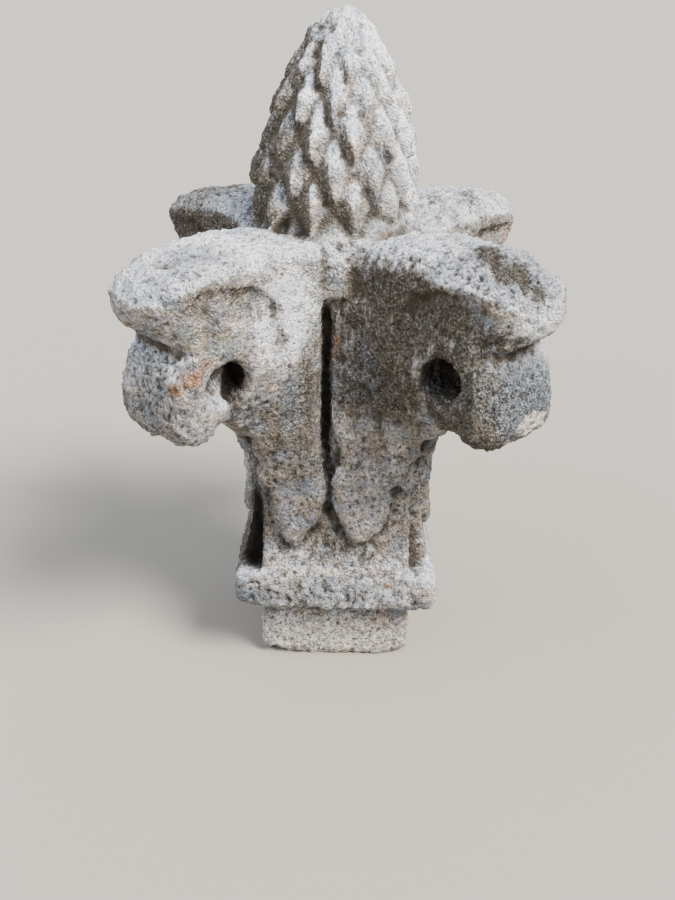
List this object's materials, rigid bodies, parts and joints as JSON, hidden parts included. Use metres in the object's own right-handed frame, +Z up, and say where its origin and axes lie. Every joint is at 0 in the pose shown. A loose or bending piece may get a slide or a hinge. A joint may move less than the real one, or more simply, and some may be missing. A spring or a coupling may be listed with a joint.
{
  "type": "stone finial",
  "caption": "Carved stone finial: square tenon and moulding, rebated square shaft, curled leaf crockets on the diagonals and a pine cone on top.",
  "frame": {"origin": "centre of the tenon's underside, the face that the finial stands on", "axes": "+Z up towards the tip of the cone; the flat faces of the shaft look along X and Y, the four leaves stand on the diagonals, and -Y is the front"},
  "size_m": [0.2484, 0.2484, 0.415],
  "materials": {
    "stone": "matte"
  },
  "bodies": {
    "root": {"finial": "stone"}
  },
  "joints": []
}
